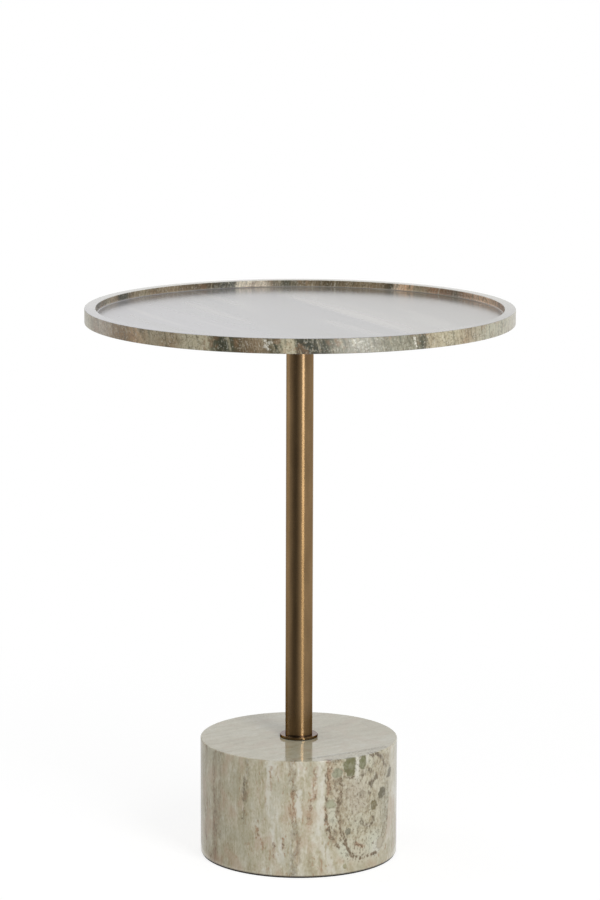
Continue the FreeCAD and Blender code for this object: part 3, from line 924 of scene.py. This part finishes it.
def rounded(corners):
    """Outline through corners (radius, height); a third number rounds the corner with that radius."""
    outline = []
    flat = [Vector(corner[:2]) for corner in corners]
    for index, corner in enumerate(corners):
        point = flat[index]
        if len(corner) == 2:
            outline.append(point)
            continue
        before = (flat[index - 1] - point).normalized()
        after = (flat[(index + 1) % len(flat)] - point).normalized()
        half = before.angle(after) / 2
        centre = point + (before + after).normalized() * (corner[2] / math.sin(half))
        start = point + before * (corner[2] / math.tan(half)) - centre
        end = point + after * (corner[2] / math.tan(half)) - centre
        turn = start.angle_signed(end)
        for step in range(ARC_STEPS + 1):
            outline.append(centre + Matrix.Rotation(-turn * step / ARC_STEPS, 2) @ start)
    return outline


def placed(name, data):
    """New object in the scene."""
    made = bpy.data.objects.new(name, data)
    bpy.context.scene.collection.objects.link(made)
    return made


def mesh_from(shape, name):
    """Mesh of a finished shape, which is freed."""
    mesh = bpy.data.meshes.new(name)
    shape.to_mesh(mesh)
    shape.free()
    return mesh


def join_rings(shape, ring, following):
    """Faces between two rings of points; a ring of one point closes the shape on the axis."""
    count = max(len(ring), len(following))
    for index in range(count):
        after = (index + 1) % count
        corners = []
        for points, order in ((ring, (index, after)), (following, (after, index))):
            if len(points) == 1:
                corners.append(points[0])
            else:
                corners.extend(points[step] for step in order)
        shape.faces.new(corners)


def round_point(radius, share, height):
    """Place at a share of a whole turn about Z."""
    turn = 2 * math.pi * share
    return Vector((radius * math.cos(turn), radius * math.sin(turn), height))


def ringed(name, places):
    """Closed mesh through rings of places, each joined to the next and the last to the first."""
    shape = bmesh.new()
    rings = [[shape.verts.new(place) for place in ring] for ring in places]
    for ring, following in zip(rings, rings[1:] + rings[:1]):
        if len(ring) > 1 or len(following) > 1:
            join_rings(shape, ring, following)
    bmesh.ops.recalc_face_normals(shape, faces=shape.faces)
    mesh = mesh_from(shape, name)
    mesh.polygons.foreach_set("use_smooth", [True] * len(mesh.polygons))
    mesh.set_sharp_from_angle(angle=math.radians(SHARP_DEGREES))
    return mesh


def turned(name, corners, segments):
    """Closed mesh turned about Z from the outline through the corners."""
    rings = []
    for radius, height in rounded(corners):
        steps = segments if radius > AXIS_LIMIT else 1
        rings.append([round_point(radius, step / steps, height) for step in range(steps)])
    return ringed(name, rings)


def piece(name, mesh, material, node):
    """Piece that stands for a CAD node and rides on its body."""
    made = placed(name, mesh)
    mesh.materials.append(material)
    weighted = made.modifiers.new("weighted", "WEIGHTED_NORMAL")
    weighted.keep_sharp = True
    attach(made, BODY)
    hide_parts(node)
    return made


def make_tray(material):
    low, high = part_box("tray_top")
    outer = high.x
    inner = outer - TRAY_LIP_WIDTH
    floor = high.z - TRAY_RECESS_DEPTH
    corners = [
        (0, low.z),
        (outer, low.z, TRAY_EDGE_ROUND),
        (outer, high.z, TRAY_EDGE_ROUND),
        (inner, high.z, TRAY_EDGE_ROUND),
        (inner, floor, TRAY_COVE_RADIUS),
        (0, floor),
    ]
    mesh = turned("marble_tray", corners, STONE_SEGMENTS)
    piece("marble_tray", mesh, material, "tray_top")


def make_drum(material):
    low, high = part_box("base_drum")
    roof = low.z + DRUM_POCKET_DEPTH
    corners = [
        (DRUM_BORE_RADIUS, roof),
        (DRUM_POCKET_RADIUS, roof),
        (DRUM_POCKET_RADIUS, low.z),
        (high.x, low.z, DRUM_EDGE_ROUND),
        (high.x, high.z, DRUM_EDGE_ROUND),
        (DRUM_BORE_RADIUS, high.z),
    ]
    mesh = turned("marble_drum", corners, STONE_SEGMENTS)
    piece("marble_drum", mesh, material, "base_drum")


def make_pad(material):
    low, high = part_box("base_pad")
    corners = [
        (PAD_HOLE_RADIUS, low.z),
        (high.x, low.z, PAD_EDGE_ROUND),
        (high.x, high.z, PAD_EDGE_ROUND),
        (PAD_HOLE_RADIUS, high.z),
    ]
    pad = piece("foam_pad", turned("foam_pad", corners, STONE_SEGMENTS), material, "base_pad")


def thread_radius(major, height, share):
    """Radius of the thread at a height and a share of a turn: trapezoid ridges along a helix."""
    phase = (height / THREAD_PITCH - share) % 1
    ridge = abs(2 * phase - 1) * (1 + 2 * THREAD_FLAT_SHARE) - THREAD_FLAT_SHARE
    return major - THREAD_DEPTH * min(max(ridge, 0), 1)


def make_rod(material):
    """Tie rod with a real thread on the end that shows in the drum's pocket."""
    low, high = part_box("tie_rod")
    shares = [step / ROD_SEGMENTS for step in range(ROD_SEGMENTS)]
    rings = [[Vector((0, 0, low.z))]]
    steps = round(THREAD_LENGTH / THREAD_PITCH * RINGS_PER_PITCH)
    for step in range(steps + 1):
        height = low.z + THREAD_PITCH * step / RINGS_PER_PITCH
        major = min(high.x, high.x - THREAD_DEPTH + height - low.z)
        rings.append([round_point(thread_radius(major, height, share), share, height) for share in shares])
    for end in (low.z + THREAD_LENGTH + THREAD_DEPTH, high.z):
        rings.append([round_point(high.x, share, end) for share in shares])
    rings.append([Vector((0, 0, high.z))])
    piece("threaded_rod", ringed("threaded_rod", rings), material, "tie_rod")


def white_for_sight(tree, plain, white):
    """Mix of two shaders: camera, mirror and glass rays meet the white one, other light the plain one."""
    path = tree.nodes.new("ShaderNodeLightPath")
    seen = path.outputs["Is Camera Ray"]
    for name in ("Is Glossy Ray", "Is Transmission Ray"):
        both = tree.nodes.new("ShaderNodeMath")
        both.operation = "MAXIMUM"
        tree.links.new(seen, both.inputs[0])
        tree.links.new(path.outputs[name], both.inputs[1])
        seen = both.outputs[0]
    blend = tree.nodes.new("ShaderNodeMixShader")
    tree.links.new(seen, blend.inputs[0])
    tree.links.new(plain, blend.inputs[1])
    tree.links.new(white, blend.inputs[2])
    return blend.outputs[0]


def make_world():
    world = bpy.data.worlds.new("studio")
    bpy.context.scene.world = world
    world.use_nodes = True
    tree = world.node_tree
    tree.nodes.clear()
    backgrounds = []
    for level in (AMBIENT_LEVEL, WHITE_LEVEL):
        background = tree.nodes.new("ShaderNodeBackground")
        background.inputs["Color"].default_value = (1.0, 1.0, 1.0, 1.0)
        background.inputs["Strength"].default_value = level
        backgrounds.append(background.outputs[0])
    output = tree.nodes.new("ShaderNodeOutputWorld")
    tree.links.new(white_for_sight(tree, *backgrounds), output.inputs[0])


def floor_paper():
    """White paper that glows where the eye meets it, less near the table, where its shading shows."""
    s = Shading("floor_paper")
    s.tree.nodes.remove(s.surface)
    place = s.add("TexCoord").outputs["Object"]
    close = s.fade(s.vector("LENGTH", place), FLOOR_FAR, FLOOR_NEAR)
    shaded = s.times(close, FLOOR_SHADED_SHARE)
    glow = s.add("Emission")
    s.feed(glow.inputs["Strength"], s.math("SUBTRACT", WHITE_LEVEL, s.times(shaded, FLOOR_NEAR_LIGHT)))
    lit = s.fed("BsdfDiffuse", [s.join(shaded, shaded, shaded)])
    seen = s.fed("AddShader", (glow.outputs[0], lit.outputs[0]))
    plain = s.fed("BsdfDiffuse", [(FLOOR_ALBEDO, FLOOR_ALBEDO, FLOOR_ALBEDO, 1.0)])
    output = s.tree.nodes["Material Output"]
    s.feed(output.inputs[0], white_for_sight(s.tree, plain.outputs[0], seen.outputs[0]))
    return s.material


def make_floor():
    mesh = bpy.data.meshes.new("floor")
    reach = FLOOR_SIZE / 2
    corners = [(-reach, -reach, 0), (reach, -reach, 0), (reach, reach, 0), (-reach, reach, 0)]
    mesh.from_pydata(corners, [], [(0, 1, 2, 3)])
    mesh.materials.append(floor_paper())
    floor = placed("floor", mesh)
    floor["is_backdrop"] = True


def around(bearing_degrees, distance, height):
    """Place at a bearing from the table, 0 towards the camera and positive to the right."""
    turn = math.radians(bearing_degrees)
    return Vector((distance * math.sin(turn), -distance * math.cos(turn), height))


def dark_card():
    """Matt black, thin where the metal mirrors more light, denser low down and near the drum."""
    s = Shading("dark_card")
    place = s.millimetres()
    angle = s.math("DEGREES", s.bearing(place))
    low = s.fade(s.split(place)[2], CARD_LOW_HEIGHT_MM, 0.0)
    low = s.times(low, s.levels(angle, CARD_LOW_SHARES))
    near = s.fade(s.vector("LENGTH", place), CARD_NEAR_FROM_MM, CARD_NEAR_FULL_MM)
    low = s.math("MAXIMUM", low, s.times(near, CARD_NEAR_SHARE))
    s.set(Base_Color=tone(22, 20, 18), Roughness=1.0, Specular_IOR_Level=0.0)
    s.set(Alpha=s.math("MAXIMUM", s.levels(angle, CARD_SHADE_SHARES), low))
    return s.material


def make_card():
    """Card that lies on the floor and stands up round the table's front and left."""
    shape = bmesh.new()
    rows = []
    first = CARD_SHADE_SHARES[0][0]
    last = CARD_SHADE_SHARES[-1][0]
    for step in range(CARD_STEPS + 1):
        bearing = first + (last - first) * step / CARD_STEPS
        inside = min(bearing - CARD_WALL_FROM_DEGREES, CARD_WALL_TO_DEGREES - bearing)
        rise = inside / CARD_WALL_RISE_DEGREES
        top = CARD_LIFT + CARD_HEIGHT * min(max(rise, 0), 1)
        spots = ((CARD_INNER_RADIUS, CARD_LIFT), (CARD_RADIUS, CARD_LIFT), (CARD_RADIUS, top))
        rows.append([shape.verts.new(around(bearing, *spot)) for spot in spots])
    for row, following in zip(rows, rows[1:]):
        for index in range(len(row) - 1):
            shape.faces.new((row[index], following[index], following[index + 1], row[index + 1]))
    mesh = mesh_from(shape, "dark_card")
    mesh.materials.append(dark_card())
    card = placed("dark_card", mesh)
    card.visible_camera = False
    card.visible_diffuse = False
    card.visible_shadow = False
    card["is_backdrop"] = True


def make_lamp(name, level, size, *place):
    """Soft lamp of a width and height, as bright as its level times white paper, turned to the table
    from a bearing, distance and height."""
    data = bpy.data.lights.new(name, "AREA")
    data.shape = "RECTANGLE"
    data.size, data.size_y = size
    data.energy = level * math.pi * data.size * data.size_y
    lamp = placed(name, data)
    lamp.location = around(*place)
    towards = Vector((0, 0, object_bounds()[1][2] / 2)) - lamp.location
    lamp.rotation_euler = towards.to_track_quat("-Z", "Y").to_euler()
    return lamp


def make_camera():
    data = bpy.data.cameras.new("camera")
    data.sensor_fit = "VERTICAL"
    data.sensor_height = SENSOR_HEIGHT_MM
    data.lens = SENSOR_HEIGHT_MM * CAMERA_FOCAL_PIXELS / PHOTO_HEIGHT_PIXELS
    camera = placed("camera", data)
    aim = Matrix.Rotation(math.radians(CAMERA_LEVEL_DEGREES - CAMERA_PITCH_DEGREES), 4, "X")
    roll = Matrix.Rotation(math.radians(CAMERA_ROLL_DEGREES), 4, "Z")
    camera.matrix_world = Matrix.Translation(CAMERA_PLACE) @ aim @ roll
    bpy.context.scene.camera = camera


def paint(material, *nodes):
    """New material on CAD nodes that stay."""
    for node in nodes:
        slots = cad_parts[node].data.materials
        slots.clear()
        slots.append(material)


def main():
    bpy.context.scene.view_settings.view_transform = "Standard"
    make_camera()
    make_world()
    make_floor()
    make_card()
    make_lamp("key", KEY_LEVEL, KEY_SIZE, KEY_BEARING_DEGREES, KEY_DISTANCE, KEY_MIDDLE_HEIGHT)
    make_lamp("fill", FILL_LEVEL, FILL_SIZE, FILL_BEARING_DEGREES, FILL_DISTANCE, FILL_MIDDLE_HEIGHT)
    strip = make_lamp("strip", STRIP_LEVEL, KEY_SIZE, KEY_BEARING_DEGREES, STRIP_DISTANCE, KEY_MIDDLE_HEIGHT)
    strip.visible_diffuse = False
    make_tray(tray_marble())
    make_drum(drum_marble())
    make_pad(pad_foam())
    paint(brushed_brass(), "column_tube")
    paint(turned_brass(), "column_collar", "support_plate")
    steel = clouded("plated_steel", STEEL_CLOUD_SIZE, STEEL_STOPS, STEEL_ROUGHNESS, metallic=1.0)
    make_rod(steel)
    paint(steel, "plate_boss", "rod_lock_nut", "clamp_washer", "spring_washer", "clamp_nut")
    rubber = clouded("gasket_rubber", RUBBER_GRAIN_SIZE, RUBBER_STOPS, RUBBER_ROUGHNESS, detail=2.0)
    paint(rubber, "collar_gasket", "clamp_gasket")
    adhesive = clouded("adhesive", ADHESIVE_CLOUD_SIZE, ADHESIVE_STOPS, ADHESIVE_ROUGHNESS)
    paint(adhesive, "plate_adhesive")


main()
